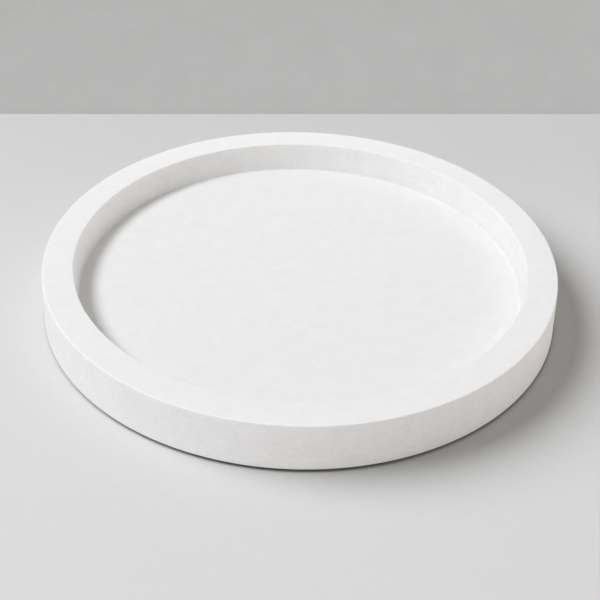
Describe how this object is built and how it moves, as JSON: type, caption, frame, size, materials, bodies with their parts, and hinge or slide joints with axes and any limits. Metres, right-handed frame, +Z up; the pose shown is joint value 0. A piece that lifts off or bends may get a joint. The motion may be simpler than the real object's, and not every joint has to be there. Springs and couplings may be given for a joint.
{
  "type": "candle plate",
  "caption": "Round flat candle plate with a low straight wall, a flat rim and a sunken level dish, cast in matt white mineral and standing on thin felt pads.",
  "frame": {"origin": "on the surface that the pads stand on, under the middle of the plate", "axes": "+Z up along the axis of the round plate, -Y to the side that faces the camera, +X to its right"},
  "size_m": [0.1512, 0.1512, 0.015],
  "materials": {
    "cast_mineral": "matt white gypsum casting, fine grain with sparse pinholes",
    "felt": "pressed felt, die-cut",
    "adhesive_film": "thin clear acrylic film, milky where it grips"
  },
  "bodies": {
    "root": {"plate_casting": "cast_mineral", "felt_pad_front_left": "felt", "felt_pad_front_right": "felt", "felt_pad_back_right": "felt", "felt_pad_back_left": "felt", "adhesive_film_front_left": "adhesive_film", "adhesive_film_front_right": "adhesive_film", "adhesive_film_back_right": "adhesive_film", "adhesive_film_back_left": "adhesive_film"}
  },
  "joints": []
}
